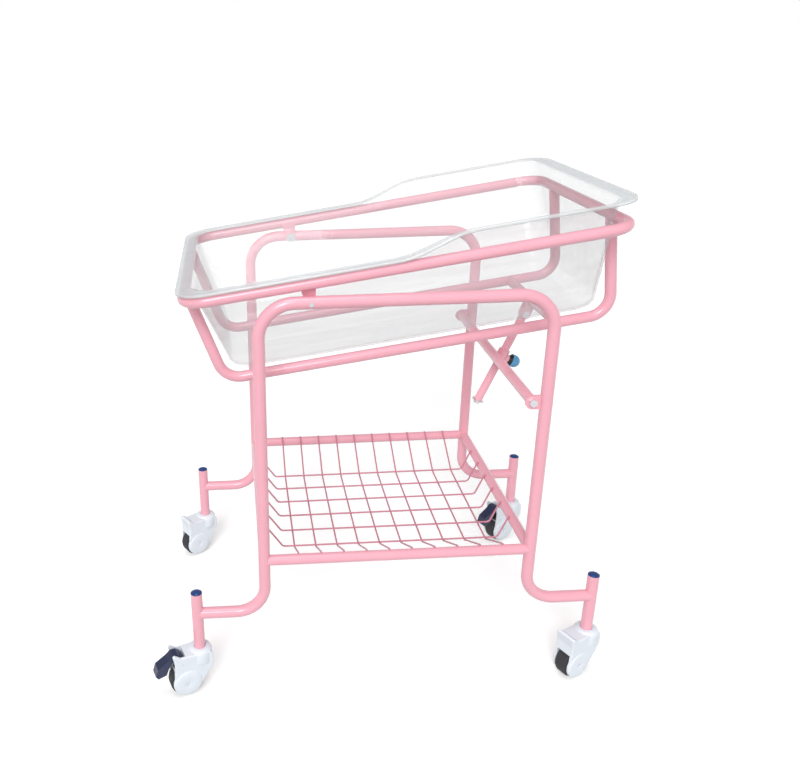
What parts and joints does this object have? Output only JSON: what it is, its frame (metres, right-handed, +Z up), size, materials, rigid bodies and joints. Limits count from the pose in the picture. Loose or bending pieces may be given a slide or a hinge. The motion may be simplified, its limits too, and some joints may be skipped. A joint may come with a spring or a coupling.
{
  "type": "hospital bassinet",
  "caption": "Clear tapered baby basin on a tilting cradle of bent pink tube, with a clamp-knob tilt strut, wire basket and hooded swivel castors.",
  "frame": {"origin": "on the floor, under the centre of the whole object's box", "axes": "+X towards the head end, along the basin; +Y across to the far side; +Z up"},
  "size_m": [0.878, 0.5418, 0.9422],
  "materials": {
    "coated_tube": "glossy powder coat",
    "coated_wire": "powder coat",
    "socket_plastic": "moulded",
    "blue_cap": "moulded",
    "zinc_steel": "zinc plated",
    "black_plastic": "moulded",
    "blue_knob": "moulded",
    "clear_basin": "clear moulded",
    "white_hood": "moulded",
    "grey_wheel": "moulded",
    "dark_tyre": "smooth tread",
    "navy_pedal": "moulded"
  },
  "bodies": {
    "stand": {"near_side_frame": "coated_tube", "far_side_frame": "coated_tube", "near_rail": "coated_tube", "far_rail": "coated_tube", "foot_rail": "coated_tube", "head_rail": "coated_tube", "wire_basket": "coated_wire", "near_left_post": "coated_tube", "near_right_post": "coated_tube", "far_left_post": "coated_tube", "far_right_post": "coated_tube", "stem_sockets": "socket_plastic", "post_caps": "blue_cap", "leg_brackets": "coated_tube", "pivot_bolts": "zinc_steel"},
    "cradle": {"cradle_ring": "coated_tube", "near_lower_tube": "coated_tube", "far_lower_tube": "coated_tube", "cradle_cross_tube": "coated_tube", "pivot_plates": "coated_tube", "rod_lug": "coated_tube", "rod_pin": "zinc_steel"},
    "swivel": {"swivel_tube": "coated_tube", "swivel_bolts": "zinc_steel", "rod_sleeve": "coated_tube"},
    "strut": {"tilt_rod": "coated_tube", "rod_stop": "zinc_steel"},
    "clamp_knob": {"knob_screw": "zinc_steel", "knob_hub": "black_plastic", "knob_cap": "blue_knob"},
    "tub": {"basin": "clear_basin"},
    "near_left_castor": {"near_left_castor_hood": "white_hood", "near_left_castor_stem": "zinc_steel", "near_left_castor_axle": "zinc_steel", "near_left_castor_pedal_pin": "zinc_steel"},
    "near_left_wheel": {"near_left_castor_wheel": "grey_wheel", "near_left_castor_tyre": "dark_tyre"},
    "near_left_pedal": {"near_left_castor_pedal": "navy_pedal"},
    "near_right_castor": {"near_right_castor_hood": "white_hood", "near_right_castor_stem": "zinc_steel", "near_right_castor_axle": "zinc_steel"},
    "near_right_wheel": {"near_right_castor_wheel": "grey_wheel", "near_right_castor_tyre": "dark_tyre"},
    "far_left_castor": {"far_left_castor_hood": "white_hood", "far_left_castor_stem": "zinc_steel", "far_left_castor_axle": "zinc_steel"},
    "far_left_wheel": {"far_left_castor_wheel": "grey_wheel", "far_left_castor_tyre": "dark_tyre"},
    "far_right_castor": {"far_right_castor_hood": "white_hood", "far_right_castor_stem": "zinc_steel", "far_right_castor_axle": "zinc_steel", "far_right_castor_pedal_pin": "zinc_steel"},
    "far_right_wheel": {"far_right_castor_wheel": "grey_wheel", "far_right_castor_tyre": "dark_tyre"},
    "far_right_pedal": {"far_right_castor_pedal": "navy_pedal"}
  },
  "joints": [
    {"name": "cradle_tilt", "type": "hinge", "parent": "stand", "child": "cradle", "pos_m": [-0.12949, 0.00866, 0.7867], "axis": [0, -1, 0], "range_deg": [-8.2, 3.3]},
    {"name": "swivel_turn", "type": "hinge", "parent": "stand", "child": "swivel", "pos_m": [0.25811, 0.00866, 0.59], "axis": [0, -1, 0], "range_deg": [-7.4, 3]},
    {"name": "strut_slide", "type": "slide", "parent": "swivel", "child": "strut", "axis": [0.3973, 0, 0.9177], "range_m": [-0.064, 0.026]},
    {"name": "clamp_turn", "type": "hinge", "parent": "swivel", "child": "clamp_knob", "pos_m": [0.27646, 0.00866, 0.58205], "axis": [0.9177, 0, -0.3973], "range_deg": [0, 360]},
    {"name": "basin_lift", "type": "slide", "parent": "cradle", "child": "tub", "axis": [-0.1426, 0, 0.9898], "range_m": [0, 0.25]},
    {"name": "near_left_swivel", "type": "hinge", "parent": "stand", "child": "near_left_castor", "pos_m": [-0.34789, -0.22634, 0.094], "axis": [0, 0, 1], "continuous": true},
    {"name": "near_left_spin", "type": "hinge", "parent": "near_left_castor", "child": "near_left_wheel", "pos_m": [-0.37795, -0.23731, 0.0325], "axis": [0.3429, -0.9394, 0], "continuous": true},
    {"name": "near_left_brake", "type": "hinge", "parent": "near_left_castor", "child": "near_left_pedal", "pos_m": [-0.38547, -0.24006, 0.078], "axis": [0.3429, -0.9394, 0], "range_deg": [0, 8]},
    {"name": "near_right_swivel", "type": "hinge", "parent": "stand", "child": "near_right_castor", "pos_m": [0.41211, -0.22634, 0.094], "axis": [0, 0, 1], "continuous": true},
    {"name": "near_right_spin", "type": "hinge", "parent": "near_right_castor", "child": "near_right_wheel", "pos_m": [0.38358, -0.24083, 0.0325], "axis": [0.4529, -0.8916, 0], "continuous": true},
    {"name": "far_left_swivel", "type": "hinge", "parent": "stand", "child": "far_left_castor", "pos_m": [-0.34789, 0.24366, 0.094], "axis": [0, 0, 1], "continuous": true},
    {"name": "far_left_spin", "type": "hinge", "parent": "far_left_castor", "child": "far_left_wheel", "pos_m": [-0.37466, 0.22612, 0.0325], "axis": [0.548, -0.8365, 0], "continuous": true},
    {"name": "far_right_swivel", "type": "hinge", "parent": "stand", "child": "far_right_castor", "pos_m": [0.41211, 0.24366, 0.094], "axis": [0, 0, 1], "continuous": true},
    {"name": "far_right_spin", "type": "hinge", "parent": "far_right_castor", "child": "far_right_wheel", "pos_m": [0.3833, 0.22974, 0.0325], "axis": [0.435, -0.9004, 0], "continuous": true},
    {"name": "far_right_brake", "type": "hinge", "parent": "far_right_castor", "child": "far_right_pedal", "pos_m": [0.37609, 0.22626, 0.078], "axis": [0.435, -0.9004, 0], "range_deg": [0, 8]}
  ],
  "couplings": [
    {"joint": "swivel_turn", "follows": "cradle_tilt", "ratio": 0.86963},
    {"joint": "strut_slide", "follows": "cradle_tilt", "m_per_rad": 0.43686}
  ]
}
